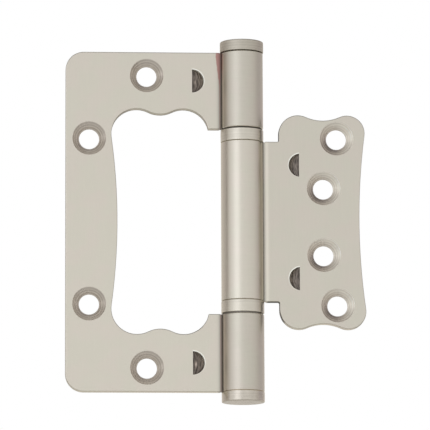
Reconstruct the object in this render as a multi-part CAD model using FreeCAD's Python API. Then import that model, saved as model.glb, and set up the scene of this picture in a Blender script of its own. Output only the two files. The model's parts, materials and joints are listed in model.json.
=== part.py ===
import FreeCAD, Part
import math
import os
from FreeCAD import Vector

# A flush door hinge: a large leaf with a window, a small leaf that folds into that window,
# rolled knuckles on one pin, and a thrust ball bearing each side of the middle knuckle.
# Millimetres. Z runs up the pin, X across the open leaves, and -Y is the countersunk side.
# The origin is on the pin's axis at mid height, and both leaves lie open in one plane.

# Sheet and barrel
SHEET = 2.5                 # thickness of both leaves
PIN_RADIUS = 3.75
PIN_CLEARANCE = 0.05        # radial, pin in knuckle
JOG_RADIUS = 0.8            # inside radius of the bend where a leaf jogs into its roll
SEAM_GAP = 0.4              # between the end of the roll and the leaf's front face
ROLL_END_ROUND = 0.45       # on the outer corner of the roll's end
KNUCKLE_CHAMFER = 0.22
EDGE_ROUND = 0.25           # punched edge on the countersunk side

# Large leaf: a frame of one rail and two arms round a window
LEAF_HALF = 50.8            # top and bottom edge, from mid height
LARGE_REACH = 52.4          # free edge, from the pin's axis
LARGE_CORNER = 5.4
RAIL_WIDTH = 13.55          # beside the window's lobes
ARM_WIDTH = 17.1            # above the window's lobes
ARM_STEP = 6.0              # how much wider an arm is beside the barrel
WINDOW_START = 9.95         # the window's near side, from the pin's axis
WINDOW_LOBE = 7.55          # radius of its four lobes
WINDOW_DIP = 8.0            # radius of the tongue between two lobes
WINDOW_BULGE = 1.8          # how far the rail bulges into the window at mid height

# Small leaf: a wing that folds into the window, on a neck
NEAR_GAP = 0.9              # wing to window, on the barrel's side
TOP_GAP = 1.65              # wing to window, above and below
FAR_GAP = 2.35              # wing to window, beside the rail
NEAR_LOBE_CUT = 1.8         # how much smaller the wing's near lobes are than the window's
FAR_LOBE_CUT = 2.25
WING_DIP = 12.3             # radius of the hollow between two lobes
WING_STEP_ROUND = 0.5

# Knuckles and the space between them
FACING = 0.1                # a rolled knuckle is faced back by this from its arm's edges
NECK_FACING = 0.2           # and by this from the neck's edges
BEARING_HEIGHT = 4.0        # from the middle knuckle to the next one

# Screw holes
HOLE_RADIUS = 3.0
SINK_RADIUS = 5.0           # countersink at the front face, 90 degrees
ARM_HOLE_REACH = 28.35      # from the pin's axis
ARM_HOLE_INSET = 7.1        # from the leaf's top or bottom edge
RAIL_HOLE_INSET = 7.0       # from the free edge
RAIL_HOLE_HALF = 24.75      # from mid height
OUTER_HOLE_INSET = 8.4      # from the wing's free edge at a lobe
OUTER_HOLE_DROP = 7.05      # from the wing's top or bottom
INNER_HOLE_INSET = 10.6     # from the wing's free edge at mid height
INNER_HOLE_HALF = 10.0      # from mid height

# Half-moon teeth, sheared out of the sheet to bite into the wood behind
TOOTH_HALF = 3.5            # half of the straight edge
TOOTH_STEP = 0.6            # how far the straight edge is pushed back
TOOTH_DROP = 2.05           # how far the round edge is
LARGE_TOOTH_REACH = 14.85   # the straight edge, from the pin's axis
LARGE_TOOTH_RISE = 3.5      # from the straight edge to the middle of the round one
LARGE_TOOTH_INSET = 8.6     # from the leaf's top or bottom edge
SMALL_TOOTH_REACH = 16.85
SMALL_TOOTH_RISE = 3.1
SMALL_TOOTH_HALF = 17.0     # from mid height

# Pin head and bottom tip
HEAD_PROUD = 0.15           # how far the head stands out past the barrel
HEAD_HEIGHT = 3.2
HEAD_GAP = 0.2              # left under the head when the pin is pressed in
TIP_PROUD = 0.05
TIP_HEIGHT = 3.1
CAP_ROUND = 0.3
CAP_CHAMFER = 0.1
TIP_SHANK = 6.0             # length pressed into the bottom knuckle
PIN_END_GAP = 0.5           # between the pin's end and the shank
PIN_END_CHAMFER = 0.6

# Thrust ball bearings
CUP_PROUD = 0.05
CUP_WALL = 0.4
CUP_BASE = 1.2
CUP_GAP = 0.4               # between the cup's rim and the next knuckle
CUP_ROUND = 0.15
RUNNING = 0.1               # radial clearance of the rings
BALL_COUNT = 9
BALL_MARGIN = 0.256         # from a ball to the cup's wall, and to the bore
BALL_CLEARANCE = 0.03
GROOVE_DEPTH = 0.15
CAGE_HALF = 0.4             # half the thickness of the ball cage

# What follows from these
HALF_SHEET = SHEET / 2
BORE = PIN_RADIUS + PIN_CLEARANCE
BARREL = BORE + SHEET
JOG_MIDDLE = JOG_RADIUS + HALF_SHEET
ROLL_MIDDLE = BORE + HALF_SHEET
JOIN = math.sqrt((JOG_MIDDLE + ROLL_MIDDLE) ** 2 - JOG_MIDDLE ** 2)

WINDOW_END = LARGE_REACH - RAIL_WIDTH
WINDOW_TOP = LEAF_HALF - ARM_WIDTH
WINDOW_WAIST = WINDOW_END - WINDOW_BULGE
ARM_HALF = WINDOW_TOP - ARM_STEP

KNUCKLE_TOP = LEAF_HALF - FACING
KNUCKLE_INNER = ARM_HALF + FACING
MIDDLE_HALF = KNUCKLE_INNER - BEARING_HEIGHT
NECK_HALF = MIDDLE_HALF + NECK_FACING

WING_START = WINDOW_START + NEAR_GAP
WING_TOP = WINDOW_TOP - TOP_GAP
WING_END = WINDOW_END - FAR_GAP
WING_WAIST = WINDOW_WAIST - FAR_GAP
WING_NEAR_LOBE = WINDOW_LOBE - NEAR_LOBE_CUT
WING_FAR_LOBE = WINDOW_LOBE - FAR_LOBE_CUT

# Hole centres, as distance from the pin's axis and height from mid height
LARGE_HOLES = (
    (ARM_HOLE_REACH, LEAF_HALF - ARM_HOLE_INSET),
    (LARGE_REACH - RAIL_HOLE_INSET, RAIL_HOLE_HALF),
)
SMALL_HOLES = (
    (WING_END - OUTER_HOLE_INSET, WING_TOP - OUTER_HOLE_DROP),
    (WING_WAIST - INNER_HOLE_INSET, INNER_HOLE_HALF),
)

HEAD_RADIUS = BARREL + HEAD_PROUD
TIP_RADIUS = BARREL + TIP_PROUD

CUP_RADIUS = BARREL + CUP_PROUD
CUP_BORE = CUP_RADIUS - CUP_WALL
RING_BORE = PIN_RADIUS + RUNNING
RACE_RADIUS = CUP_BORE - RUNNING
BALL_CIRCLE = (RING_BORE + CUP_BORE) / 2
BALL_RADIUS = (CUP_BORE - RING_BORE) / 2 - BALL_MARGIN
BASE_TOP = MIDDLE_HALF + CUP_BASE
BALL_HEIGHT = BASE_TOP - GROOVE_DEPTH + BALL_CLEARANCE + BALL_RADIUS
RACE_BOTTOM = 2 * BALL_HEIGHT - BASE_TOP


# Plane geometry, on pairs of numbers
def polar(radius, angle, centre=(0, 0)):
    return (centre[0] + radius * math.cos(angle), centre[1] + radius * math.sin(angle))


def towards(centre, radius, target):
    """The point of a circle that faces a target point."""
    return polar(radius, math.atan2(target[1] - centre[1], target[0] - centre[0]), centre)


def rolled_against(first, first_radius, second, second_radius, radius):
    """Centre of a circle that touches two others from above."""
    a = first_radius + radius
    b = second_radius + radius
    span = math.dist(first, second)
    along = (a * a - b * b + span * span) / (2 * span)
    rise = math.sqrt(a * a - along * along)
    ux = (second[0] - first[0]) / span
    uz = (second[1] - first[1]) / span
    return (first[0] + along * ux - rise * uz, first[1] + along * uz + rise * ux)


def waist_radius(offset, height, lobe):
    """Radius of the long arc that touches a lobe above and below and reaches a given waist."""
    return (offset ** 2 + height ** 2 - lobe ** 2) / (2 * (lobe - offset))


class Outline:
    """A closed outline drawn point by point, with straight runs and arcs."""

    def __init__(self, start, place):
        self.first = start
        self.last = start
        self.place = place
        self.edges = []

    def line(self, end):
        self.edges.append(Part.LineSegment(self.place(self.last), self.place(end)).toShape())
        self.last = end

    def arc(self, centre, radius, end):
        """The shorter arc about a centre, from the last point to the end."""
        middle = ((self.last[0] + end[0]) / 2, (self.last[1] + end[1]) / 2)
        self.through(towards(centre, radius, middle), end)

    def through(self, middle, end):
        points = [self.place(p) for p in (self.last, middle, end)]
        self.edges.append(Part.Arc(*points).toShape())
        self.last = end

    def face(self):
        if math.dist(self.first, self.last) > 1e-9:
            self.line(self.first)
        return Part.Face(Part.Wire(self.edges))


def on_front(point):
    """A leaf's point, given as distance from the axis and height, on its front face."""
    return Vector(point[0], -HALF_SHEET, point[1])


def mirrored(shape):
    return shape.mirror(Vector(0, 0, 0), Vector(1, 0, 0))


def upside_down(shape):
    return shape.mirror(Vector(0, 0, 0), Vector(0, 0, 1))


def turned(profile):
    """A solid of revolution about the pin's axis, from an outline of radius and height."""
    return profile.face().revolve(Vector(0, 0, 0), Vector(0, 0, 1), 360)


def turning(start):
    return Outline(start, lambda p: Vector(p[0], 0, p[1]))


# Leaves: both are drawn on the +X side, and the large one is mirrored at the end
def leaf_plate(outline):
    plate = outline.face().extrude(Vector(0, SHEET, 0))
    front_edges = []
    for edge in plate.Edges:
        box = edge.BoundBox
        at_front = box.YMax < -HALF_SHEET + 1e-6
        at_join = box.XMax < JOIN + 1e-6
        if at_front and not at_join:
            front_edges.append(edge)
    return plate.makeFillet(EDGE_ROUND, front_edges)


def scallops(path, near, near_radius, far, far_radius, dip_radius, waist_reach):
    """Two lobes and a hollow below, a long hollow beside the free edge, and the same above."""
    dip = rolled_against(near, near_radius, far, far_radius, dip_radius)
    waist_round = waist_radius(waist_reach - far[0], far[1], far_radius)
    waist = (waist_reach + waist_round, 0)
    half = [
        (near, near_radius, towards(near, near_radius, dip)),
        (dip, dip_radius, towards(far, far_radius, dip)),
        (far, far_radius, towards(far, far_radius, waist)),
    ]
    for centre, radius, end in half:
        path.arc((centre[0], -centre[1]), radius, (end[0], -end[1]))
    path.arc(waist, waist_round, half[2][2])
    path.arc(far, far_radius, half[1][2])
    path.arc(dip, dip_radius, half[0][2])


def large_outline():
    near = (WINDOW_START + WINDOW_LOBE, WINDOW_TOP - WINDOW_LOBE)
    far = (WINDOW_END - WINDOW_LOBE, WINDOW_TOP - WINDOW_LOBE)
    step = near[0] - math.sqrt(WINDOW_LOBE ** 2 - (ARM_HALF - near[1]) ** 2)
    corner = LARGE_REACH - LARGE_CORNER
    corner_half = LEAF_HALF - LARGE_CORNER

    path = Outline((JOIN, LEAF_HALF), on_front)
    path.line((corner, LEAF_HALF))
    path.arc((corner, corner_half), LARGE_CORNER, (LARGE_REACH, corner_half))
    path.line((LARGE_REACH, -corner_half))
    path.arc((corner, -corner_half), LARGE_CORNER, (corner, -LEAF_HALF))
    path.line((JOIN, -LEAF_HALF))
    path.line((JOIN, -ARM_HALF))
    path.line((step, -ARM_HALF))
    scallops(path, near, WINDOW_LOBE, far, WINDOW_LOBE, WINDOW_DIP, WINDOW_WAIST)
    path.arc(near, WINDOW_LOBE, (step, ARM_HALF))
    path.line((JOIN, ARM_HALF))
    return path


def small_outline():
    near = (WING_START + WING_NEAR_LOBE, WING_TOP - WING_NEAR_LOBE)
    far = (WING_END - WING_FAR_LOBE, WING_TOP - WING_FAR_LOBE)
    round_start = WING_START - WING_STEP_ROUND
    round_half = NECK_HALF + WING_STEP_ROUND

    path = Outline((JOIN, -NECK_HALF), on_front)
    path.line((round_start, -NECK_HALF))
    path.arc((round_start, -round_half), WING_STEP_ROUND, (WING_START, -round_half))
    path.line((WING_START, -near[1]))
    scallops(path, near, WING_NEAR_LOBE, far, WING_FAR_LOBE, WING_DIP, WING_WAIST)
    path.arc(near, WING_NEAR_LOBE, (WING_START, near[1]))
    path.line((WING_START, round_half))
    path.arc((round_start, round_half), WING_STEP_ROUND, (round_start, NECK_HALF))
    path.line((JOIN, NECK_HALF))
    return path


def knuckle(low, high):
    """The sheet jogs to the back, then rolls round the pin and ends at the leaf's front face."""
    jog = (JOIN, JOG_MIDDLE)
    start = math.atan2(JOG_MIDDLE, JOIN)
    end = 2 * math.pi - math.asin((HALF_SHEET + SEAM_GAP) / BARREL)
    round_distance = BARREL - ROLL_END_ROUND
    round_angle = end - math.asin(ROLL_END_ROUND / round_distance)
    round_centre = polar(round_distance, round_angle)
    round_end = polar(math.sqrt(round_distance ** 2 - ROLL_END_ROUND ** 2), end)

    path = Outline((JOIN, HALF_SHEET), lambda p: Vector(p[0], p[1], low))
    path.arc(jog, JOG_RADIUS, polar(BARREL, start))
    path.through(polar(BARREL, (start + round_angle) / 2), polar(BARREL, round_angle))
    path.arc(round_centre, ROLL_END_ROUND, round_end)
    path.line(polar(BORE, end))
    path.through(polar(BORE, (start + end) / 2), polar(BORE, start))
    path.arc(jog, JOG_RADIUS + SHEET, (JOIN, -HALF_SHEET))
    roll = path.face().extrude(Vector(0, 0, high - low))
    rims = []
    for edge in roll.Edges:
        flat = edge.BoundBox.ZLength < 1e-6
        if flat and isinstance(edge.Curve, Part.Circle) and abs(edge.Curve.Radius - BARREL) < 1e-6:
            rims.append(edge)
    return roll.makeChamfer(KNUCKLE_CHAMFER, rims)


def countersunk_hole(reach, height):
    depth = SINK_RADIUS - HOLE_RADIUS
    proud = 0.5             # the cutter starts this far in front of the leaf
    sink = Part.makeCone(SINK_RADIUS + proud, HOLE_RADIUS, depth + proud,
                         Vector(reach, -HALF_SHEET - proud, height), Vector(0, 1, 0))
    hole = Part.makeCylinder(HOLE_RADIUS, SHEET + 2 * proud,
                             Vector(reach, -HALF_SHEET - proud, height), Vector(0, 1, 0))
    return sink.fuse(hole)


def half_moon(chord, rise, height, depth):
    """A half disc on the barrel's side of its chord, as deep as given from the front face."""
    path = Outline((chord, height - TOOTH_HALF), on_front)
    path.line((chord, height + TOOTH_HALF))
    path.through((chord - rise, height), (chord, height - TOOTH_HALF))
    return path.face().extrude(Vector(0, depth, 0))


def tooth(chord, rise, height):
    """The sheared half disc: it slopes from its chord to its round edge, and stands out behind."""
    tip = chord - rise
    corner = (chord, TOOTH_STEP - HALF_SHEET)
    slope = Outline(corner, lambda p: Vector(p[0], p[1], height - TOOTH_HALF))
    slope.line((tip, TOOTH_DROP - HALF_SHEET))
    slope.line((tip, TOOTH_DROP + HALF_SHEET))
    slope.line((chord, TOOTH_STEP + HALF_SHEET))
    slab = slope.face().extrude(Vector(0, 0, 2 * TOOTH_HALF))
    return slab.common(half_moon(chord, rise, height, SHEET + TOOTH_DROP))


def finished_leaf(outline, knuckles, holes, tooth_chord, tooth_rise, tooth_half):
    leaf = leaf_plate(outline)
    for low, high in knuckles:
        leaf = leaf.fuse(knuckle(low, high))
    for reach, half in holes:
        for height in (-half, half):
            leaf = leaf.cut(countersunk_hole(reach, height))
    for height in (-tooth_half, tooth_half):
        leaf = leaf.cut(half_moon(tooth_chord, tooth_rise, height, SHEET))
        leaf = leaf.fuse(tooth(tooth_chord, tooth_rise, height))
    return leaf.removeSplitter()


def large_leaf():
    knuckles = ((KNUCKLE_INNER, KNUCKLE_TOP), (-KNUCKLE_TOP, -KNUCKLE_INNER))
    tooth_half = LEAF_HALF - LARGE_TOOTH_INSET
    leaf = finished_leaf(large_outline(), knuckles, LARGE_HOLES, LARGE_TOOTH_REACH, LARGE_TOOTH_RISE, tooth_half)
    return mirrored(leaf)


def small_leaf():
    knuckles = ((-MIDDLE_HALF, MIDDLE_HALF),)
    return finished_leaf(small_outline(), knuckles, SMALL_HOLES,
                         SMALL_TOOTH_REACH, SMALL_TOOTH_RISE, SMALL_TOOTH_HALF)


# Pin and bottom tip
def hinge_pin():
    """The shaft and its head are one turned piece, with a thin gap left below the head."""
    end = -KNUCKLE_TOP + TIP_SHANK + PIN_END_GAP
    under = KNUCKLE_TOP + HEAD_GAP
    top = under + HEAD_HEIGHT
    flat = HEAD_RADIUS - CAP_ROUND
    path = turning((0, end))
    path.line((PIN_RADIUS - PIN_END_CHAMFER, end))
    path.line((PIN_RADIUS, end + PIN_END_CHAMFER))
    path.line((PIN_RADIUS, under))
    path.line((HEAD_RADIUS - CAP_CHAMFER, under))
    path.line((HEAD_RADIUS, under + CAP_CHAMFER))
    path.line((HEAD_RADIUS, top - CAP_ROUND))
    path.arc((flat, top - CAP_ROUND), CAP_ROUND, (flat, top))
    path.line((0, top))
    return turned(path)


def bottom_tip():
    """A cap that matches the head, with a shank pressed up into the bottom knuckle."""
    bottom = -KNUCKLE_TOP - TIP_HEIGHT
    shank_top = -KNUCKLE_TOP + TIP_SHANK
    flat = TIP_RADIUS - CAP_ROUND
    path = turning((0, bottom))
    path.line((flat, bottom))
    path.arc((flat, bottom + CAP_ROUND), CAP_ROUND, (TIP_RADIUS, bottom + CAP_ROUND))
    path.line((TIP_RADIUS, -KNUCKLE_TOP - CAP_CHAMFER))
    path.line((TIP_RADIUS - CAP_CHAMFER, -KNUCKLE_TOP))
    path.line((BORE, -KNUCKLE_TOP))
    path.line((BORE, shank_top - PIN_END_CHAMFER))
    path.line((BORE - PIN_END_CHAMFER, shank_top))
    path.line((0, shank_top))
    return turned(path)


# Bearings: drawn above the middle knuckle, and mirrored for the one below it
def raceway():
    """The ring-shaped space that the balls run in."""
    return Part.makeTorus(BALL_CIRCLE, BALL_RADIUS + BALL_CLEARANCE, Vector(0, 0, BALL_HEIGHT))


def bearing_cup():
    rim = KNUCKLE_INNER - CUP_GAP
    flat = CUP_RADIUS - CUP_ROUND
    low_round = MIDDLE_HALF + CUP_ROUND
    high_round = rim - CUP_ROUND
    path = turning((RING_BORE, MIDDLE_HALF))
    path.line((flat, MIDDLE_HALF))
    path.arc((flat, low_round), CUP_ROUND, (CUP_RADIUS, low_round))
    path.line((CUP_RADIUS, high_round))
    path.arc((flat, high_round), CUP_ROUND, (flat, rim))
    path.line((CUP_BORE, rim))
    path.line((CUP_BORE, BASE_TOP))
    path.line((RING_BORE, BASE_TOP))
    return turned(path).cut(raceway())


def bearing_race():
    path = turning((RING_BORE, RACE_BOTTOM))
    path.line((RACE_RADIUS, RACE_BOTTOM))
    path.line((RACE_RADIUS, KNUCKLE_INNER))
    path.line((RING_BORE, KNUCKLE_INNER))
    return turned(path).cut(raceway())


def ball_positions():
    for number in range(BALL_COUNT):
        x, y = polar(BALL_CIRCLE, 2 * math.pi * number / BALL_COUNT)
        yield Vector(x, y, BALL_HEIGHT)


def ball_cage():
    path = turning((RING_BORE + BALL_CLEARANCE, BALL_HEIGHT - CAGE_HALF))
    path.line((CUP_BORE - BALL_CLEARANCE, BALL_HEIGHT - CAGE_HALF))
    path.line((CUP_BORE - BALL_CLEARANCE, BALL_HEIGHT + CAGE_HALF))
    path.line((RING_BORE + BALL_CLEARANCE, BALL_HEIGHT + CAGE_HALF))
    cage = turned(path)
    for centre in ball_positions():
        foot = centre - Vector(0, 0, 2 * CAGE_HALF)
        cage = cage.cut(Part.makeCylinder(BALL_RADIUS + BALL_CLEARANCE, 4 * CAGE_HALF, foot))
    return cage


def build():
    nodes = {
        "large_leaf": large_leaf(),
        "small_leaf": small_leaf(),
        "hinge_pin": hinge_pin(),
        "bottom_tip": bottom_tip(),
    }
    bearing = {
        "bearing_cup": bearing_cup(),
        "bearing_race": bearing_race(),
        "ball_cage": ball_cage(),
    }
    for number, centre in enumerate(ball_positions(), 1):
        bearing["ball_" + str(number)] = Part.makeSphere(BALL_RADIUS, centre)
    for name, shape in bearing.items():
        nodes["upper_" + name] = shape
        nodes["lower_" + name] = upside_down(shape)
    return nodes


os.makedirs("parts", exist_ok=True)
for name, shape in build().items():
    shape.exportStep("parts/" + name + ".step")
    print(name, "valid" if shape.isValid() else "not valid", len(shape.Solids), round(shape.Volume, 2))
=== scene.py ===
# %% [markdown]
# # A flush door hinge in satin nickel
# This lesson dresses a hinge whose solids are already made. The large leaf is a frame round a window, the
# small leaf folds into that window, and a ball bearing sits each side of the middle knuckle.
# The solids have the real shape, so the work here is finish: plated sheet, machined countersinks, sheared
# teeth and turned caps.

# %% Load the solids
import json
import math
import bpy
from mathutils import Matrix, Vector


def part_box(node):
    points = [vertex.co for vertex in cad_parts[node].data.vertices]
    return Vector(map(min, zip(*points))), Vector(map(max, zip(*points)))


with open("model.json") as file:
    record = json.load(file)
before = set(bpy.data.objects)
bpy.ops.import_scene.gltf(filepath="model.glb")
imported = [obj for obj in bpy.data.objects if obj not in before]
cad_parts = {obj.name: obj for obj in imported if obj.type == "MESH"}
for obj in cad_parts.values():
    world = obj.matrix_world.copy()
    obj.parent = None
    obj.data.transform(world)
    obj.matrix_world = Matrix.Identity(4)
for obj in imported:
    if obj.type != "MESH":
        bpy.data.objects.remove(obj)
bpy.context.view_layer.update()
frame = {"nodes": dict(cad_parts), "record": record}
nodes = frame["nodes"]
mounts = {mount["name"]: mount for mount in frame["record"]["mounts"]}
MM = 0.001

# %% [markdown]
# Every finish below is a function of where a point lies on the object, so the script first reads the sizes
# that the patterns need. The screw holes and the sheet's back come from the hinge's own list of mounts, and
# the leaf's height and the barrel's radius from the boxes of its solids, so the patterns can't slide off
# them. No mount or box tells the countersinks' radius or the half-moon teeth, so these are written here. A
# tooth is given by its chord's distance from the pin's axis, its height above mid height, and how far its
# arc stands off its chord.

# %% Sizes that the finishes need
def hole_pair(name):
    """Distance from the pin's axis and height above mid height, of two holes placed alike."""
    mount = mounts[name]
    return abs(mount["pos_m"][0]), mount["dims"]["spacing_y_mm"] * MM / 2


large_holes = [hole_pair("large_leaf_arm_screws"), hole_pair("large_leaf_edge_screws")]
small_holes = [hole_pair("small_leaf_outer_screws"), hole_pair("small_leaf_inner_screws")]
HOLE_RADIUS = mounts["large_leaf_arm_screws"]["dims"]["hole_r_mm"] * MM
SINK_RADIUS = 5.0 * MM
BACK = mounts["large_leaf_back"]["pos_m"][1]
FRONT = -BACK
LEAF_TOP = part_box("large_leaf")[1].z
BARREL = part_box("small_leaf")[1].y
CREASE_LINE = math.sqrt(BARREL ** 2 - FRONT ** 2)
TOOTH_HALF = 3.5 * MM
large_tooth = (14.85 * MM, 42.2 * MM, 3.5 * MM)
small_tooth = (16.85 * MM, 17.0 * MM, 3.1 * MM)
print("holes", large_holes, small_holes, "barrel radius", round(BARREL / MM, 2), "mm")

# %% [markdown]
# A material is a graph of nodes, joined from socket to socket. It could be drawn in the shader editor, but
# here each node is added by the script, so a few short helpers keep that readable: one adds a node, one
# joins its sockets, and the others make the kinds of node that this object needs most.

# %% Helpers for nodes
def add(tree, kind, **settings):
    """Adds a node and sets its own options."""
    item = tree.nodes.new(kind)
    for key, value in settings.items():
        setattr(item, key, value)
    return item


def feed(tree, value, socket):
    """Joins an output to an input, or sets the input to a plain value."""
    if isinstance(value, bpy.types.NodeSocket):
        tree.links.new(value, socket)
    else:
        socket.default_value = value


def wired(tree, kind, *values, **settings):
    """Adds a node, feeds its inputs in their order, and gives its first output."""
    item = add(tree, kind, **settings)
    for value, socket in zip(values, item.inputs):
        feed(tree, value, socket)
    return item.outputs[0]


def maths(tree, operation, *values):
    return wired(tree, "ShaderNodeMath", *values, operation=operation)


def split(tree, vector):
    """The three coordinates of a place or a direction."""
    item = add(tree, "ShaderNodeSeparateXYZ")
    feed(tree, vector, item.inputs[0])
    return tuple(item.outputs)


def join(tree, x, y, z):
    return wired(tree, "ShaderNodeCombineXYZ", x, y, z)


def noise(tree, place, scale, detail=2.0, stretch=(1.0, 1.0, 1.0)):
    """Noise with a scale in features per metre, drawn out along an axis by a small stretch there."""
    squeeze = add(tree, "ShaderNodeMapping")
    feed(tree, place, squeeze.inputs["Vector"])
    squeeze.inputs["Scale"].default_value = stretch
    item = add(tree, "ShaderNodeTexNoise")
    feed(tree, squeeze.outputs[0], item.inputs["Vector"])
    item.inputs["Scale"].default_value = scale
    item.inputs["Detail"].default_value = detail
    return item.outputs["Fac"]


print("node helpers ready")

# %% [markdown]
# Most of the nodes are small sums. These helpers give the usual ones a name, and take plain numbers and
# sockets alike.

# %% Helpers for sums
def product(tree, first, *others):
    for other in others:
        first = maths(tree, "MULTIPLY", first, other)
    return first


def scaled(tree, value, factor, start):
    """The start plus the value times the factor."""
    return maths(tree, "MULTIPLY_ADD", value, factor, start)


def distance(tree, first, second):
    """How far a point lies from zero, by two of its coordinates."""
    squares = [maths(tree, "POWER", part, 2.0) for part in (first, second)]
    return maths(tree, "SQRT", maths(tree, "ADD", *squares))


def fade(tree, value, start, end, low=0.0, high=1.0):
    """Moves smoothly from low to high while the value goes from start to end."""
    return wired(tree, "ShaderNodeMapRange", value, start, end, low, high, interpolation_type="SMOOTHSTEP")


def bell(tree, value, centre, width):
    """One where the value is at the centre, falling to nothing within about two widths."""
    off = maths(tree, "DIVIDE", maths(tree, "SUBTRACT", value, centre), width)
    return maths(tree, "EXPONENT", product(tree, off, off, -1.0))


def blend(tree, amount, first, second, kind="FLOAT"):
    """The first value where the amount is zero, and the second where it is one."""
    item = add(tree, "ShaderNodeMix", data_type=kind)
    for label, value in (("Factor", amount), ("A", first), ("B", second)):
        feed(tree, value, item.inputs[label])
    return item.outputs["Result"]


def blend_colours(tree, amount, first, second):
    return blend(tree, amount, first, second, "RGBA")


def centred(tree, value):
    """Turns a value between zero and one, such as noise, into one about zero."""
    return maths(tree, "SUBTRACT", value, 0.5)


print("sum helpers ready")

# %% [markdown]
# A shader group is a finish made once and used in many materials. The first helper opens a group with named
# sockets, and the second puts a group into a material. A group here only works out values that change over
# the surface, and leaves the metal itself to the Principled shader of each material. The last helper serves
# two groups. What is alike above and below mid height needs one pattern only: it folds a point on to the
# upper half by taking the size of its height, and gives its offset from one place there.

# %% Helpers for shader groups
def new_group(name, vectors, values, outputs):
    """Opens a group that takes vectors and values, and gives values."""
    tree = bpy.data.node_groups.new(name, "ShaderNodeTree")
    sockets = [(label, "INPUT", "NodeSocketVector") for label in vectors]
    sockets += [(label, "INPUT", "NodeSocketFloat") for label in values]
    sockets += [(label, "OUTPUT", "NodeSocketFloat") for label in outputs]
    for label, direction, kind in sockets:
        tree.interface.new_socket(label, in_out=direction, socket_type=kind)
    return tree, add(tree, "NodeGroupInput").outputs, add(tree, "NodeGroupOutput").inputs


def use_group(tree, group, **values):
    item = add(tree, "ShaderNodeGroup", node_tree=group)
    for label, value in values.items():
        feed(tree, value, item.inputs[label.replace("_", " ")])
    return item.outputs


def folded(tree, given):
    """Offsets across, along and upward from the place given, the half (1 above, -1 below), and the depth."""
    x, depth, z = split(tree, given["Place"])
    across = maths(tree, "SUBTRACT", maths(tree, "ABSOLUTE", x), given["Reach"])
    along = maths(tree, "SUBTRACT", maths(tree, "ABSOLUTE", z), given["Half Height"])
    half = maths(tree, "SIGN", z)
    return across, along, maths(tree, "MULTIPLY", along, half), half, depth


print("group helpers ready")

# %% [markdown]
# Satin nickel is bead blasted or brushed before plating, so it has no mirror in it, only a fine even
# grain. An image of brushed metal could be wrapped round the sheet, but it would have to be unwrapped and
# would show where it repeats, so noise over the object's own coordinates is used instead. The grain shows
# in three ways: the tone drifts a little, the gloss drifts a little, and a very low bump breaks up every
# reflection. The plating also has patches that are a little warmer than the rest. One group gives all four.

# %% Satin grain group
CLOUD_SCALE, PATCH_SCALE, GRAIN_SCALE, BRUSH_SCALE = 120.0, 170.0, 5200.0, 2600.0
ALONG_THE_PIN = (1.0, 1.0, 0.06)
BRUSHED_TONE, BRUSHED_GLOSS, CLOUDED_GLOSS = 0.05, 0.04, 0.10
GRAIN_DEPTH = 0.6


def make_satin_grain():
    group, given, made = new_group("satin_grain", ["Place"], ["Tone Drift", "Roughness"],
                                   ["Tone", "Roughness", "Height", "Warmth"])
    place = given["Place"]
    feed(group, fade(group, noise(group, place, PATCH_SCALE, 1.0), 0.35, 0.65), made["Warmth"])
    cloud = centred(group, noise(group, place, CLOUD_SCALE, 3.0))
    brush = noise(group, place, BRUSH_SCALE, 3.0, ALONG_THE_PIN)
    tone = scaled(group, centred(group, brush), BRUSHED_TONE, product(group, cloud, given["Tone Drift"]))
    feed(group, maths(group, "ADD", 1.0, tone), made["Tone"])
    gloss = scaled(group, cloud, CLOUDED_GLOSS, given["Roughness"])
    feed(group, scaled(group, brush, BRUSHED_GLOSS, gloss), made["Roughness"])
    feed(group, scaled(group, noise(group, place, GRAIN_SCALE), GRAIN_DEPTH, brush), made["Height"])
    return group


satin_grain = make_satin_grain()
print("group", satin_grain.name)

# %% [markdown]
# The caps and the bearing rings are turned on a lathe, and the tool leaves fine lines round the pin's axis.
# Real grooves that fine would take millions of faces, so a bump stands in for them. A point's line depends
# only on its height and its distance from the axis, so noise over those two numbers gives closed rings with
# no seam.

# %% Turning lines group
WIDE_LINES, FINE_LINES = 1800.0, 7000.0


def make_turning_lines():
    group, given, made = new_group("turning_lines", ["Place"], ["Strength"], ["Tone", "Height"])
    x, y, z = split(group, given["Place"])
    turned = join(group, distance(group, x, y), 0.0, z)
    wide = maths(group, "MULTIPLY", noise(group, turned, WIDE_LINES), 0.5)
    line = scaled(group, noise(group, turned, FINE_LINES, 1.0), 0.5, wide)
    feed(group, scaled(group, centred(group, line), given["Strength"], 1.0), made["Tone"])
    feed(group, line, made["Height"])
    return group


turning_lines = make_turning_lines()
print("group", turning_lines.name)

# %% [markdown]
# Each leaf has two pairs of screw holes. Their cones are real, and the cutter's marks and a painted fan are
# added.
# A picture could be laid on each cone by hand, but the holes' places are known, so this group measures how
# far a folded point lies from a hole's centre, and puts the cutter's rings there, with some chatter. The
# fan is a painted highlight and painted shade that stand in for the cone's reflection: brighter on the side
# away from the pin and above, and towards the cone's outer edge, and darker on the other side. It is also a
# little blurred on that side, where the rest of the cone has more gloss than the sheet.

# %% Countersink group
RING_PITCH = 0.62 * MM
CHATTER_SCALE = 2200.0
RING_STRENGTH, RING_CONTRAST = 0.22, 0.6
FAN_UP, FAN_AWAY, FAN_SIDES = 0.28, 0.45, 0.13
FAN_AT_HOLE, FAN_AT_RIM = -0.08, 0.10
CONE_GLOSS, FAN_BLUR = -0.08, 0.2


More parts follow.
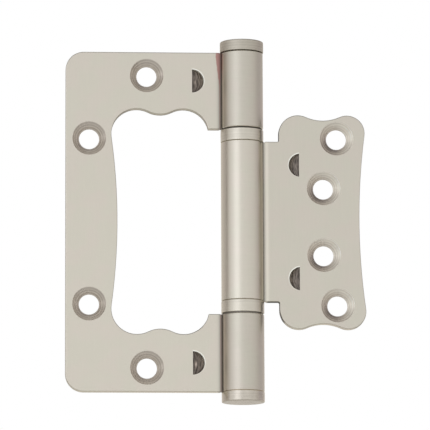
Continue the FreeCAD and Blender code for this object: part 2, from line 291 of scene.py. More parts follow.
def make_countersink():
    group, given, made = new_group("countersink", ["Place"], ["Reach", "Half Height", "Fan"],
                                   ["Mask", "Tone", "Height", "Gloss"])
    across, along, upward, _, depth = folded(group, given)
    radius = distance(group, across, along)
    inside = fade(group, radius, SINK_RADIUS - 0.02 * MM, SINK_RADIUS + 0.04 * MM, 1.0, 0.0)
    ahead = fade(group, depth, BACK - 0.3 * MM, BACK + 0.05 * MM, 1.0, 0.0)
    feed(group, maths(group, "MULTIPLY", inside, ahead), made["Mask"])
    # The fan: painted highlight and painted shade, by where a point lies round the hole.
    away = maths(group, "DIVIDE", across, radius)
    tilt = maths(group, "MULTIPLY", maths(group, "DIVIDE", upward, radius), FAN_UP)
    tilt = scaled(group, away, FAN_AWAY, tilt)
    tilt = scaled(group, maths(group, "ABSOLUTE", away), FAN_SIDES, tilt)
    fan = maths(group, "ADD", tilt, fade(group, radius, HOLE_RADIUS, SINK_RADIUS, FAN_AT_HOLE, FAN_AT_RIM))
    chatter = noise(group, join(group, radius, given["Reach"], 0.0), CHATTER_SCALE, 1.0)
    turn = maths(group, "DIVIDE", maths(group, "SUBTRACT", radius, HOLE_RADIUS), RING_PITCH / (2 * math.pi))
    rings = scaled(group, maths(group, "SINE", turn), RING_STRENGTH, chatter)
    feed(group, rings, made["Height"])
    ringed = scaled(group, centred(group, rings), RING_CONTRAST, 1.0)
    feed(group, scaled(group, fan, given["Fan"], ringed), made["Tone"])
    blur = maths(group, "MULTIPLY", maths(group, "MAXIMUM", away, 0.0), given["Fan"])
    feed(group, scaled(group, blur, FAN_BLUR, CONE_GLOSS), made["Gloss"])
    return group


countersink = make_countersink()
print("group", countersink.name)

# %% [markdown]
# The half-moon teeth are sheared out of the sheet, and the plating is thin and dark on the torn floor. The
# press drags the metal in streaks that follow the round edge. A small painted highlight sits on the floor
# near its chord. The floor gets painted light towards its round side, and painted shade along its border and
# its chord. It could have a slot and a material of its own, but a solid's mesh is left alone here, so a mask
# finds it: a disc cut by the chord, again on the folded point, and only below the leaf's face. The lip is
# the face just outside the round edge, and it gets a painted highlight, brighter at the top.

# %% Half-moon tooth group
STREAK_SCALE = 3900.0
STREAK_STRETCH = 0.14
STREAK_BEND = 12 * MM
DARK_STREAK, BRIGHT_STREAK = 0.5, 1.6
ROUND_SIDE_LIGHT, BORDER_SHADE, CHORD_SHADE = 1.6, 0.85, 0.7
GLINT_SIZE, GLINT_STRETCH = 0.22 * MM, 0.35
GLINT_FROM_CHORD, GLINT_SHIFT = 0.95 * MM, 0.12 * MM
UPPER_GLINT = -0.2
SLACK = 0.02 * MM


def make_half_moon():
    group, given, made = new_group("half_moon", ["Place"], ["Reach", "Half Height", "Rise", "Radius", "Burr"],
                                   ["Mask", "Tone", "Height", "Lip"])
    across, along, upward, half, depth = folded(group, given)
    to_centre = maths(group, "ADD", across, maths(group, "SUBTRACT", given["Rise"], given["Radius"]))
    radius = distance(group, to_centre, along)
    over = maths(group, "SUBTRACT", radius, given["Radius"])
    inside = maths(group, "LESS_THAN", over, SLACK)
    beside = maths(group, "LESS_THAN", across, SLACK)
    sunk = maths(group, "GREATER_THAN", depth, FRONT + 0.1 * MM)
    feed(group, product(group, inside, beside, sunk), made["Mask"])
    bend = maths(group, "DIVIDE", maths(group, "POWER", along, 2.0), -STREAK_BEND)
    drag = join(group, maths(group, "ADD", across, bend),
                maths(group, "MULTIPLY", half, given["Half Height"]),
                maths(group, "MULTIPLY", upward, STREAK_STRETCH))
    streaks = noise(group, drag, STREAK_SCALE, 3.0)
    feed(group, streaks, made["Height"])
    # The floor's tone: streaks, painted light towards the round side, and painted shade along the border and
    # the chord.
    grey = product(group, fade(group, streaks, 0.32, 0.68, DARK_STREAK, BRIGHT_STREAK),
                   fade(group, across, -TOOTH_HALF, -0.3 * MM, ROUND_SIDE_LIGHT, 1.0),
                   fade(group, over, -0.45 * MM, -0.1 * MM, 1.0, BORDER_SHADE),
                   fade(group, across, -0.5 * MM, -0.1 * MM, 1.0, CHORD_SHADE))
    # A small painted highlight near the chord, weaker in the upper half.
    off = distance(group, maths(group, "ADD", across, GLINT_FROM_CHORD),
                   scaled(group, upward, GLINT_STRETCH, GLINT_SHIFT))
    spot = maths(group, "MULTIPLY", given["Burr"], scaled(group, half, UPPER_GLINT, 1.0))
    feed(group, scaled(group, bell(group, off, 0.0, GLINT_SIZE), spot, grey), made["Tone"])
    # The lip's mask for its painted highlight, stronger towards the top.
    rim = fade(group, over, SLACK, 0.4 * MM, 1.0, 0.0)
    outside = maths(group, "GREATER_THAN", over, -SLACK)
    lit_above = fade(group, maths(group, "DIVIDE", upward, radius), -0.9, 0.7, 0.1, 1.0)
    feed(group, product(group, rim, outside, beside, lit_above), made["Lip"])
    return group


half_moon = make_half_moon()
print("group", half_moon.name)

# %% [markdown]
# Where a leaf meets its roll, two curved walls shade each other, and the renderer works that out. More
# painted shade is drawn by the distance from the crease line. The sheet gets painted shade towards the line,
# and a brighter strip beside it, a painted reflection of the barrel. The roll gets painted shade twice: at
# the line, and again a little higher, where it stops mirroring the sheet. A second mask marks the copper
# under the nickel. It is a wedge on the sheet at the top of the leaf, which thins to a line further down,
# with a smear beside it on the roll and a faint stain above that. The painted shade is lighter over the
# copper.

# %% Crease group
STRIP_PLACE, STRIP_WIDTH = 1.1 * MM, 0.5 * MM
ROLL_SHADE_RISE, ROLL_SHADE_WIDTH = 2.1 * MM, 0.65 * MM
LOW_SHADE, HIGH_SHADE = 0.33, 0.2
WEDGE_LENGTH, WEDGE_NARROW, WEDGE_WIDE = 11 * MM, 0.65 * MM, 1.65 * MM
SMEAR, FAINT_STAIN, SHADE_ON_COPPER = 0.7, 0.12, -0.35
RAG_SCALE = 900.0


def make_crease():
    group, given, made = new_group("crease", ["Place"], ["Side", "Depth", "Width", "Shine", "Stain"],
                                   ["Tone", "Stain"])
    x, y, z = split(group, given["Place"])
    outward = maths(group, "MULTIPLY", x, given["Side"])
    leaf_side = maths(group, "GREATER_THAN", outward, 0.0)
    across = maths(group, "SUBTRACT", outward, CREASE_LINE)
    flat = maths(group, "GREATER_THAN", across, 0.0)
    rise = maths(group, "ADD", maths(group, "ABSOLUTE", y), FRONT)
    # Painted shade on the sheet towards the line, less a painted reflection of the barrel beside it.
    sheet = maths(group, "MULTIPLY", bell(group, across, 0.0, given["Width"]), given["Depth"])
    strip = maths(group, "MULTIPLY", bell(group, across, STRIP_PLACE, STRIP_WIDTH), given["Shine"])
    sheet = maths(group, "SUBTRACT", sheet, strip)
    # Painted shade on the roll: at the line, and a little higher.
    low = maths(group, "MULTIPLY", bell(group, rise, 0.0, 0.7 * MM), LOW_SHADE)
    roll = scaled(group, bell(group, rise, ROLL_SHADE_RISE, ROLL_SHADE_WIDTH), HIGH_SHADE, low)
    roll = maths(group, "MULTIPLY", roll, leaf_side)
    spread = fade(group, z, LEAF_TOP - WEDGE_LENGTH, LEAF_TOP, WEDGE_NARROW, WEDGE_WIDE)
    ragged = scaled(group, noise(group, given["Place"], RAG_SCALE), 0.3 * MM, across)
    wedge = product(group, fade(group, maths(group, "SUBTRACT", ragged, spread), 0.0, 0.25 * MM, 1.0, 0.0),
                    fade(group, across, 0.05 * MM, 0.3 * MM),
                    fade(group, z, LEAF_TOP - 14 * MM, LEAF_TOP - 7 * MM, 0.5, 1.0))
    smear = product(group, fade(group, z, LEAF_TOP - 8 * MM, LEAF_TOP - 4 * MM),
                    fade(group, rise, 0.7 * MM, 1.4 * MM, 1.0, 0.0), leaf_side, SMEAR)
    faint = maths(group, "MULTIPLY", fade(group, rise, 2.2 * MM, 3.4 * MM, FAINT_STAIN, 0.0), leaf_side)
    copper = blend(group, flat, maths(group, "MAXIMUM", smear, faint), wedge)
    stain = product(group, copper, given["Stain"], maths(group, "LESS_THAN", y, 0.0))
    feed(group, stain, made["Stain"])
    eased = scaled(group, stain, SHADE_ON_COPPER, 1.0)
    shade = maths(group, "MULTIPLY", blend(group, flat, roll, sheet), eased)
    feed(group, maths(group, "SUBTRACT", 1.0, shade), made["Tone"])
    return group


crease = make_crease()
print("group", crease.name)

# %% [markdown]
# A punch cuts the sheet in two stages: it shaves a smooth band near the face, then the rest breaks away and
# stays rough. The sides of the sheet are the surfaces that turn away from its faces, so the object's own
# normal finds them, with the rounded edges half way. The barrel is left out by its distance from the axis.
# A side's tone is painted light and shade by the way it faces, with a painted tone of their own for the
# leaf's top and bottom edges, and its rounded edge gets painted shade where it faces right or up.
# Two sheltered parts of the small leaf get painted shade: the wing's sides that face the barrel, and the
# lower side of the neck that joins it to its knuckle.

# %% Sheared edge group
TEAR_SCALE, BORDER_SCALE = 3200.0, 260.0
THROUGH_THE_SHEET = (1.0, 0.12, 1.0)
SIDE_TONE, SIDEWAYS_SHADE, TORN_SHADE, UPWARD_SHADE = 0.72, -0.35, -0.25, -0.25
TOP_EDGE, BOTTOM_EDGE = -0.25, 0.5
TEAR_TONE, ROUND_SHADE = 0.35, 0.25
SHELTER_DEPTH, SHELTER_ON_ROUND = 0.55, 1.6


def make_sheared_edge():
    group, given, made = new_group("sheared_edge", ["Place", "Facing"], ["Shelter"],
                                   ["Mask", "Tone", "Height", "Rim"])
    x, y, z = split(group, given["Place"])
    right, back, up = split(group, given["Facing"])
    level = maths(group, "ABSOLUTE", back)
    turned = fade(group, level, 0.3, 0.99, 1.0, 0.0)
    clear = fade(group, maths(group, "ABSOLUTE", x), BARREL + 0.6 * MM, BARREL + 1.2 * MM)
    feed(group, maths(group, "MULTIPLY", turned, clear), made["Mask"])
    drag = noise(group, given["Place"], TEAR_SCALE, 2.0, THROUGH_THE_SHEET)
    border = scaled(group, noise(group, given["Place"], BORDER_SCALE), 1.2 * MM, -0.7 * MM)
    torn = fade(group, maths(group, "SUBTRACT", y, border), 0.0, 0.25 * MM)
    feed(group, maths(group, "MULTIPLY", drag, torn), made["Height"])
    # Painted light and shade by the way a side faces, and a painted tone for the leaf's top and bottom edges.
    sideways = maths(group, "MULTIPLY", maths(group, "ABSOLUTE", right), turned)
    half = maths(group, "SIGN", z)
    outer = maths(group, "MAXIMUM", maths(group, "MULTIPLY", up, half), 0.0)
    tone = scaled(group, sideways, SIDEWAYS_SHADE, SIDE_TONE)
    tone = scaled(group, torn, TORN_SHADE, tone)
    tone = scaled(group, up, UPWARD_SHADE, tone)
    edge = scaled(group, half, (TOP_EDGE - BOTTOM_EDGE) / 2, (TOP_EDGE + BOTTOM_EDGE) / 2)
    tone = scaled(group, outer, edge, tone)
    # Painted shade on the small leaf's sheltered wing sides and neck.
    inward = maths(group, "ADD", right, maths(group, "ABSOLUTE", up))
    wing = maths(group, "MULTIPLY", fade(group, x, 14 * MM, 17 * MM, 1.0, 0.0),
                 fade(group, inward, -0.25, 0.0, SHELTER_DEPTH, 0.0))
    below = maths(group, "MULTIPLY", fade(group, outer, 0.1, 0.7), maths(group, "LESS_THAN", half, 0.0))
    neck = maths(group, "MULTIPLY", fade(group, x, 10.5 * MM, 11.5 * MM, SHELTER_DEPTH, 0.0), below)
    hidden = maths(group, "MULTIPLY", maths(group, "MAXIMUM", wing, neck), given["Shelter"])
    lit = maths(group, "SUBTRACT", 1.0, hidden)
    feed(group, maths(group, "MULTIPLY", scaled(group, drag, TEAR_TONE, tone), lit), made["Tone"])
    # Painted shade on the rounded edge where it faces right or up, and where it is sheltered.
    rounded = fade(group, level, 0.6, 0.995, 1.0, 0.0)
    dark = fade(group, maths(group, "MAXIMUM", right, up), 0.1, 0.5, 0.0, ROUND_SHADE)
    dark = maths(group, "MAXIMUM", dark, maths(group, "MULTIPLY", hidden, SHELTER_ON_ROUND))
    feed(group, maths(group, "SUBTRACT", 1.0, product(group, dark, rounded, clear)), made["Rim"])
    return group


sheared_edge = make_sheared_edge()
print("group", sheared_edge.name)

# %% [markdown]
# The ends of the knuckles and the rims of the caps have a small chamfer, and each chamfer gets a painted
# highlight. The renderer could look for sharp edges, but it would find the screw holes too. A chamfer here is
# the only surface that leans towards the axis's direction without facing it, so again the normal finds it.

# %% Painted rim highlight group
def make_painted_rim_highlight():
    group, given, made = new_group("painted_rim_highlight", ["Facing"], ["Shine"], ["Tone"])
    # A painted highlight: brighter where a surface leans part way towards the axis's direction.
    lean = maths(group, "ABSOLUTE", split(group, given["Facing"])[2])
    slope = maths(group, "MULTIPLY", fade(group, lean, 0.2, 0.5), fade(group, lean, 0.85, 0.97, 1.0, 0.0))
    feed(group, scaled(group, slope, given["Shine"], 1.0), made["Tone"])
    return group


painted_rim_highlight = make_painted_rim_highlight()
print("group", painted_rim_highlight.name)

# %% [markdown]
# A new material already holds a Principled shader, so the next helper only sets what is constant, on the
# shader's own sockets. All these metals are fully metallic. Nickel is a warm grey, and its tint at a
# glancing angle is warm too, which shows on the rounds and under the bottom tip. The sheet's nickel drifts
# between a cool and a warm shade. A countersink's nickel has a painted shade copy and a painted highlight
# copy, used where its rings and its painted fan are dark or bright. The lip round a tooth gets a painted
# highlight colour.

# %% Colours and the base material
NICKEL = (0.593, 0.5585, 0.484, 1.0)
COOL_NICKEL = (0.588, 0.561, 0.482, 1.0)
WARM_NICKEL = (0.598, 0.556, 0.486, 1.0)
# Painted shade and painted highlight copies of the countersinks' nickel.
SINK_SHADE = (0.643, 0.573, 0.530, 1.0)
SINK_NICKEL = (0.618, 0.574, 0.519, 1.0)
SINK_HIGHLIGHT = (0.600, 0.577, 0.523, 1.0)
TORN_METAL = (0.185, 0.16, 0.14, 1.0)
# The painted highlight of a tooth's lip.
LIP_HIGHLIGHT = (0.93, 0.93, 0.86, 1.0)
BARE_COPPER = (0.41, 0.235, 0.21, 1.0)
GLANCING_TINT = (1.0, 0.965, 0.9, 1.0)


def metal(name, roughness, colour=NICKEL):
    material = bpy.data.materials.new(name)
    material.use_nodes = True
    tree = material.node_tree
    shader = tree.nodes["Principled BSDF"]
    shader.inputs["Metallic"].default_value = 1.0
    shader.inputs["Roughness"].default_value = roughness
    shader.inputs["Base Color"].default_value = colour
    shader.inputs["Specular Tint"].default_value = GLANCING_TINT
    material.diffuse_color = colour
    sources = add(tree, "ShaderNodeTexCoord").outputs
    return material, tree, shader, sources["Object"], sources["Normal"]


def tinted(tree, colour, tone):
    """The colour made brighter or darker by a tone."""
    item = add(tree, "ShaderNodeVectorMath", operation="SCALE")
    feed(tree, colour if isinstance(colour, bpy.types.NodeSocket) else colour[:3], item.inputs[0])
    feed(tree, tone, item.inputs["Scale"])
    return item.outputs[0]


def surfaced(tree, shader, colour, rough, height, bump_depth):
    """Gives a shader its colour, its roughness and a bump."""
    bump = add(tree, "ShaderNodeBump")
    bump.inputs["Strength"].default_value = 1.0
    bump.inputs["Distance"].default_value = bump_depth
    feed(tree, height, bump.inputs["Height"])
    feed(tree, bump.outputs[0], shader.inputs["Normal"])
    feed(tree, colour, shader.inputs["Base Color"])
    feed(tree, rough, shader.inputs["Roughness"])


print("nickel is", NICKEL[:3])

# %% [markdown]
# The finishes of a leaf are layered: satin everywhere, then sheared sides, the cutter's rings in the
# countersinks, torn metal in the half-moons, and the crease last. A coat is a colour, a roughness and a
# height, and each layer takes the coat so far and gives it back with one thing more. What differs between
# the two leaves is in a look, a short table of numbers that every layer can read.

# %% Plated sheet and its sides
SHEET_ROUGHNESS, SHEET_DRIFT, SHEET_GRAIN = 0.30, 0.06, 0.25
SIDE_ROUGHNESS = 0.12
DIE_SCALE, DIE_LINES = 2600.0, 0.06
ROUND_THE_PIN = (0.08, 0.08, 1.0)


def plated(tree, place, facing, look):
    """Satin sheet, and knuckles with die lines round the pin and a painted highlight on their rims."""
    satin = use_group(tree, satin_grain, Place=place, Tone_Drift=SHEET_DRIFT, Roughness=SHEET_ROUGHNESS)
    x, y, _ = split(tree, place)
    rolled = fade(tree, distance(tree, x, y), BARREL + 0.05 * MM, BARREL + 0.4 * MM, 1.0, 0.0)
    dull = scaled(tree, rolled, -look["dullness"], 1.0)
    dies = centred(tree, noise(tree, place, DIE_SCALE, 2.0, ROUND_THE_PIN))
    lines = scaled(tree, maths(tree, "MULTIPLY", dies, rolled), DIE_LINES, 1.0)
    # The painted highlight on the knuckles' rims.
    rim_highlight = maths(tree, "MULTIPLY", rolled, look["rim_highlight_level"])
    rim = use_group(tree, painted_rim_highlight, Facing=facing, Shine=rim_highlight)
    tone = product(tree, satin["Tone"], look["tone"], dull, lines, rim["Tone"])
    plate = blend_colours(tree, satin["Warmth"], COOL_NICKEL, WARM_NICKEL)
    rough = scaled(tree, rolled, look["dullness"], satin["Roughness"])
    return tinted(tree, plate, tone), rough, maths(tree, "MULTIPLY", satin["Height"], SHEET_GRAIN)


def with_sheared_sides(tree, coat, place, facing, look):
    colour, rough, height = coat
    edge = use_group(tree, sheared_edge, Place=place, Facing=facing, Shelter=max(look["side"], 0.0))
    # Painted shade on the rounded edges, then the sides' painted tone.
    colour = tinted(tree, colour, edge["Rim"])
    colour = blend_colours(tree, edge["Mask"], colour, tinted(tree, colour, edge["Tone"]))
    rough = scaled(tree, edge["Mask"], SIDE_ROUGHNESS, rough)
    return colour, rough, scaled(tree, edge["Mask"], edge["Height"], height)


print("sheet layers ready")

# %% [markdown]
# The next layers sit at their own places on the sheet. Each blends its colour over the coat by its mask, so
# the sheet between them stays as it is. A countersink's colour goes from its painted shade through its nickel
# to its painted highlight as the rings and the painted fan grow brighter. Its height replaces the sheet's,
# since the cutter takes the grain away, while a tooth's height adds to it. A tooth's lip gets a painted
# highlight, and the crease adds painted shade and a painted reflection.

# %% Countersinks, teeth and crease
TORN_ROUGHNESS = 0.2


def with_countersink(tree, coat, place, hole, look):
    colour, rough, height = coat
    sink = use_group(tree, countersink, Place=place, Reach=hole[0], Half_Height=hole[1], Fan=look["fan"])
    # Painted shade and painted highlight copies of the nickel, by the tone of the rings and the painted fan.
    cut = blend_colours(tree, fade(tree, sink["Tone"], 0.65, 0.95), SINK_SHADE, SINK_NICKEL)
    cut = blend_colours(tree, fade(tree, sink["Tone"], 1.0, 1.35), cut, SINK_HIGHLIGHT)
    colour = blend_colours(tree, sink["Mask"], colour, tinted(tree, cut, sink["Tone"]))
    rough = scaled(tree, sink["Mask"], sink["Gloss"], rough)
    return colour, rough, blend(tree, sink["Mask"], height, sink["Height"])


def with_tooth(tree, coat, place, tooth, look):
    colour, rough, height = coat
    chord, half, rise = tooth
    radius = (TOOTH_HALF ** 2 + rise ** 2) / (2 * rise)
    torn = use_group(tree, half_moon, Place=place, Reach=chord, Half_Height=half, Rise=rise, Radius=radius,
                     Burr=look["glint"])
    grey = tinted(tree, TORN_METAL, maths(tree, "MULTIPLY", torn["Tone"], look["floor"]))
    colour = blend_colours(tree, torn["Mask"], colour, grey)
    # The lip gets a painted highlight colour.
    colour = blend_colours(tree, torn["Lip"], colour, LIP_HIGHLIGHT)
    rough = scaled(tree, torn["Mask"], TORN_ROUGHNESS, rough)
    return colour, rough, scaled(tree, torn["Mask"], torn["Height"], height)


def with_crease(tree, coat, place, look):
    colour, rough, height = coat
    fold = use_group(tree, crease, Place=place, Side=look["side"], Depth=look["shade"],
                     Width=look["shade_width"], Shine=look["strip"], Stain=look["stain"])
    # The copper stain, then the crease's painted shade and painted reflection as a tone.
    colour = blend_colours(tree, fold["Stain"], colour, BARE_COPPER)
    return tinted(tree, colour, fold["Tone"]), rough, height


print("layers of the cuts ready")

# %% [markdown]
# Both leaves are pressed from the same sheet, so one function makes both materials. In a look, the side is
# 1 to the right of the pin and -1 to the left. The dullness is what a knuckle adds to its roughness and
# takes from its tone, so the large leaf's outer knuckles are a little darker and duller than the sheet, and
# the small leaf's knuckle a little brighter. A look also gives the strengths of the painted highlight on the
# knuckles' rims and of the countersinks' painted fan. Floor and the painted highlight near a tooth's chord
# are for the teeth, the crease's painted shade and painted reflection strip are set for each leaf, and only
# the large leaf has a copper stain.

# %% Leaf materials
LARGE_LOOK = {"side": -1.0, "tone": 1.0, "dullness": 0.06, "rim_highlight_level": 0.4, "fan": -0.08, "floor": 1.05,
              "glint": 2.2, "shade": 0.8, "shade_width": 0.85 * MM, "strip": 0.0, "stain": 1.0}
SMALL_LOOK = {"side": 1.0, "tone": 0.95, "dullness": -0.02, "rim_highlight_level": 0.05, "fan": 1.0, "floor": 0.95,
              "glint": 0.5, "shade": 0.6, "shade_width": 0.45 * MM, "strip": 0.2, "stain": 0.0}
SHEET_BUMP = 0.02 * MM
MEAN_ROUGHNESS = 0.32


def leaf_metal(name, holes, tooth, look):
    material, tree, shader, place, facing = metal(name, MEAN_ROUGHNESS)
    coat = plated(tree, place, facing, look)
    coat = with_sheared_sides(tree, coat, place, facing, look)
    for hole in holes:
        coat = with_countersink(tree, coat, place, hole, look)
    coat = with_tooth(tree, coat, place, tooth, look)
    coat = with_crease(tree, coat, place, look)
    surfaced(tree, shader, *coat, SHEET_BUMP)
    return material


large_leaf_metal = leaf_metal("large_leaf_satin", large_holes, large_tooth, LARGE_LOOK)
small_leaf_metal = leaf_metal("small_leaf_satin", small_holes, small_tooth, SMALL_LOOK)
print("leaf materials ready")

# %% [markdown]
# The pin's head, the bottom tip and the two bearing cups share one turned finish. It is the same nickel in
# other shades, with lines round the axis in place of the sheet's brushing, a painted highlight on the rims'
# chamfers, and some have blotches. The bearing's races and cages are turned or pressed too. The races are
# steel that shows in the thin gaps beside the cups, and their dark colours are painted shade for those gaps,
# darker at the upper race.

# %% Turned metal
CUP_NICKEL = (0.575, 0.542, 0.468, 1.0)
HEAD_NICKEL = (0.528, 0.494, 0.423, 1.0)
TIP_NICKEL = (0.48, 0.444, 0.385, 1.0)
# Painted shade for the gaps where the races show, darker at the upper race.
UPPER_GAP_SHADE_STEEL = (0.06, 0.055, 0.05, 1.0)
LOWER_GAP_SHADE_STEEL = (0.2, 0.185, 0.165, 1.0)
CAGE_BRASS = (0.62, 0.45, 0.2, 1.0)
BLOTCH_SCALE = 900.0
TURNED_BUMP = 0.01 * MM


def turned_metal(name, colour, roughness, strength, rim_highlight=0.0, blotches=0.0):
    material, tree, shader, place, facing = metal(name, roughness, colour)
    lines = use_group(tree, turning_lines, Place=place, Strength=strength)
    # The painted highlight on the rims' chamfers.
    rim = use_group(tree, painted_rim_highlight, Facing=facing, Shine=rim_highlight)
    mottle = scaled(tree, centred(tree, noise(tree, place, BLOTCH_SCALE, 3.0)), blotches, 1.0)
    tone = product(tree, lines["Tone"], rim["Tone"], mottle)
    satin = use_group(tree, satin_grain, Place=place, Tone_Drift=0.0, Roughness=roughness)
    surfaced(tree, shader, tinted(tree, colour, tone), satin["Roughness"], lines["Height"], TURNED_BUMP)
    return material


cup_metal = turned_metal("turned_cups", CUP_NICKEL, 0.30, 0.5, rim_highlight=0.05, blotches=0.12)
head_metal = turned_metal("turned_head", HEAD_NICKEL, 0.45, 1.0, rim_highlight=0.1, blotches=0.14)
tip_metal = turned_metal("turned_tip", TIP_NICKEL, 0.2, 0.6, rim_highlight=0.3, blotches=0.35)
upper_race_shade_metal = turned_metal("upper_race_painted_shade", UPPER_GAP_SHADE_STEEL, 0.4, 0.2)
lower_race_shade_metal = turned_metal("lower_race_painted_shade", LOWER_GAP_SHADE_STEEL, 0.4, 0.2)
cage_metal = turned_metal("pressed_brass", CAGE_BRASS, 0.32, 0.2)
print("turned materials ready")

# %% [markdown]
# The balls are hidden in the cups, and only show when a bearing is opened up. They are polished steel with
# a faint haze, so their material is the satin group with almost no grain.

# %% Ball material
BEARING_STEEL = (0.56, 0.565, 0.57, 1.0)
BALL_BUMP = 0.001 * MM


def polished_metal(name):
    material, tree, shader, place, _ = metal(name, 0.1, BEARING_STEEL)
    satin = use_group(tree, satin_grain, Place=place, Tone_Drift=0.05, Roughness=0.08)
    colour = tinted(tree, BEARING_STEEL, satin["Tone"])
    surfaced(tree, shader, colour, satin["Roughness"], satin["Height"], BALL_BUMP)
    return material


ball_metal = polished_metal("polished_balls")
print("ball material ready")

# %% [markdown]
# A solid keeps its mesh, and only its material slots change. The names of the nodes say what each piece
# is, so a short table from a part of the name to a finish dresses all of them. The first row that fits
# counts.

# %% Dress the solids
FINISHES = [
    ("large_leaf", large_leaf_metal),
    ("small_leaf", small_leaf_metal),
    ("hinge_pin", head_metal),
    ("bottom_tip", tip_metal),
    ("bearing_cup", cup_metal),
    ("upper_bearing_race", upper_race_shade_metal),
    ("lower_bearing_race", lower_race_shade_metal),
    ("ball_cage", cage_metal),
    ("ball", ball_metal),
]

for name, piece in nodes.items():
    finish = next(material for part, material in FINISHES if part in name)
    piece.data.materials.clear()
    piece.data.materials.append(finish)
print("dressed", len(nodes), "nodes")

# %% [markdown]
# Bare metal shows what is round it, so the surroundings matter more than the lamps. A photographed room
# could surround it, but a row of stops on a colour ramp needs no file, and each direction can be tuned on
# its own. The camera sees white. Reflections see a room whose brightness depends on the compass direction:
# brightest to the front left, even in front, and dark past each side, which is what draws the roundness of
# the barrel. The ceiling is darker too, which darkens the edges and the slopes that face up. The dark
# directions are a little warm, as brown walls are, but for a cool one to the right, and the brightest are a
# little cool, as daylight is.

# %% World
ROOM = [(-180, 0.85), (-130, 0.68), (-101, 0.52), (-90, 0.57), (-78, 0.91), (-58, 1.14), (-42, 1.32),
        (-30, 1.34), (-18, 1.20), (-6, 1.06), (20, 1.02), (60, 0.90), (80, 0.70), (95, 0.55),
        (125, 0.62), (180, 0.85)]
BRIGHTEST = max(level for _, level in ROOM)
HORIZON, CEILING = 1.236, 0.52
WARM_WALL, COOL_WALL, DAYLIGHT = (0.16, 0.0, -0.064), (0.16, 0.0, 0.08), (0.04, 0.0, -0.14)
WHITE = (1.0, 1.0, 1.0, 1.0)


def room_colour(azimuth, level):
    """A direction's colour: its level, tinted by how far that lies from an even light."""
    wall = COOL_WALL if 90 < azimuth < 130 else WARM_WALL
    tint = wall if level < 1.0 else DAYLIGHT
    return tuple(level / BRIGHTEST * (1.0 + part * (1.0 - level)) for part in tint) + (1.0,)


def make_world():
    world = bpy.data.worlds.new("pale_room")
    bpy.context.scene.world = world
    world.use_nodes = True
    tree = world.node_tree
    background = tree.nodes["Background"]
    x, y, z = split(tree, add(tree, "ShaderNodeTexCoord").outputs["Generated"])
    compass = maths(tree, "ARCTAN2", x, maths(tree, "MULTIPLY", y, -1.0))
    walls = add(tree, "ShaderNodeValToRGB")
    stops = walls.color_ramp.elements
    for number, (azimuth, level) in enumerate(ROOM):
        place = azimuth / 360 + 0.5
        stop = stops[number] if number < 2 else stops.new(place)
        stop.position = place
        stop.color = room_colour(azimuth, level)
    feed(tree, scaled(tree, compass, 0.5 / math.pi, 0.5), walls.inputs[0])
    strength = fade(tree, z, -0.02, 0.62, BRIGHTEST * HORIZON, BRIGHTEST * CEILING)
    seen = add(tree, "ShaderNodeLightPath").outputs["Is Camera Ray"]
    feed(tree, blend_colours(tree, seen, walls.outputs["Color"], WHITE), background.inputs["Color"])
    feed(tree, fade(tree, seen, 0.0, 1.0, strength, 1.0), background.inputs["Strength"])


make_world()
print("world ready,", len(ROOM), "directions")

# %% [markdown]
# One large softbox stands in front and to the left, a little low. A lamp's power is spread over its area,
# so the helper takes the brightness of the box's face and works the power out.

# %% Softbox
def softbox(name, place, width, height, brightness):
    lamp = bpy.data.lights.new(name, "AREA")
    lamp.shape = "RECTANGLE"
    lamp.size = width
    lamp.size_y = height
    lamp.energy = brightness * math.pi * width * height
    box = bpy.data.objects.new(name, lamp)
    box.location = place
    box.rotation_euler = (-Vector(place)).to_track_quat("-Z", "Y").to_euler()
    bpy.context.scene.collection.objects.link(box)


softbox("key_softbox", (-0.62, -0.95, -0.12), width=0.6, height=0.9, brightness=0.25)
print("softbox ready")

# %% [markdown]
# The hinge is fixed to a door in use, so it doesn't stand on the floor. The floor lies well below it, is
# pale, and only takes its shadow and shows in its lower reflections. A little glow keeps it pale and leaves
# the shadow on it: white to the camera, and warm and fainter in reflections. Its underside lets everything
# through, so a camera below the floor still sees the hinge.

# %% Floor
FLOOR_HEIGHT = -0.32
FLOOR_SIZE = 6.0
FLOOR_GREY = (0.9, 0.9, 0.9, 1.0)
FLOOR_REFLECTED = (1.0, 0.97, 0.78, 1.0)
GLOW_SEEN, GLOW_REFLECTED = 0.5, 0.15


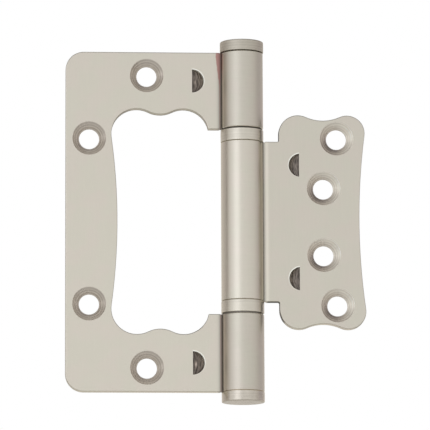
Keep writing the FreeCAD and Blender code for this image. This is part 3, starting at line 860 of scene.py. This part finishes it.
def make_floor():
    corners = [(-1, -1), (1, -1), (1, 1), (-1, 1)]
    mesh = bpy.data.meshes.new("floor")
    points = [(x * FLOOR_SIZE / 2, y * FLOOR_SIZE / 2, FLOOR_HEIGHT) for x, y in corners]
    mesh.from_pydata(points, [], [(0, 1, 2, 3)])
    floor = bpy.data.objects.new("floor", mesh)
    bpy.context.scene.collection.objects.link(floor)
    material = bpy.data.materials.new("pale_floor")
    material.use_nodes = True
    tree = material.node_tree
    shader = tree.nodes["Principled BSDF"]
    shader.inputs["Base Color"].default_value = FLOOR_GREY
    shader.inputs["Roughness"].default_value = 0.9
    path = add(tree, "ShaderNodeLightPath").outputs
    hue = blend_colours(tree, path["Is Camera Ray"], FLOOR_REFLECTED, WHITE)
    feed(tree, hue, shader.inputs["Emission Color"])
    glow = maths(tree, "MULTIPLY", path["Is Glossy Ray"], GLOW_REFLECTED)
    glow = scaled(tree, path["Is Camera Ray"], GLOW_SEEN, glow)
    feed(tree, glow, shader.inputs["Emission Strength"])
    below = add(tree, "ShaderNodeNewGeometry").outputs["Backfacing"]
    clear = add(tree, "ShaderNodeBsdfTransparent").outputs[0]
    mixed = wired(tree, "ShaderNodeMixShader", below, shader.outputs[0], clear)
    feed(tree, mixed, tree.nodes["Material Output"].inputs["Surface"])
    mesh.materials.append(material)


make_floor()
print("floor at", FLOOR_HEIGHT, "m")

# %% [markdown]
# The photograph looks up at the hinge from a little below and a little to the left, through a long lens.
# The camera's place follows from those two angles, the distance and the point that it aims at. The focal
# length is kept in pixels of the picture, which needs no sensor to be known.

# %% Camera
AZIMUTH = -3.49
ELEVATION = -9.22
ROLL = -0.24
DISTANCE = 1.2
AIM = Vector((-8.11, 0.0, 2.06)) * MM
FOCAL_PIXELS = 4052.6
IMAGE_WIDTH = 430
SENSOR_WIDTH = 36.0


def make_camera():
    turn, rise, roll = (math.radians(angle) for angle in (AZIMUTH, ELEVATION, ROLL))
    ahead = Vector((-math.sin(turn) * math.cos(rise), math.cos(turn) * math.cos(rise), -math.sin(rise)))
    right = Vector((math.cos(turn), math.sin(turn), 0.0))
    up = right.cross(ahead)
    tilted = right * math.cos(roll) + up * math.sin(roll)
    upright = up * math.cos(roll) - right * math.sin(roll)
    data = bpy.data.cameras.new("photo_camera")
    data.sensor_width = SENSOR_WIDTH
    data.lens = FOCAL_PIXELS * SENSOR_WIDTH / IMAGE_WIDTH
    camera = bpy.data.objects.new("photo_camera", data)
    turned = Matrix((tilted, upright, -ahead)).transposed().to_4x4()
    camera.matrix_world = Matrix.Translation(AIM - ahead * DISTANCE) @ turned
    bpy.context.scene.collection.objects.link(camera)
    bpy.context.scene.camera = camera
    return camera


camera = make_camera()
bpy.context.scene.view_settings.view_transform = "Standard"
print("camera at", tuple(round(v, 3) for v in camera.matrix_world.translation))
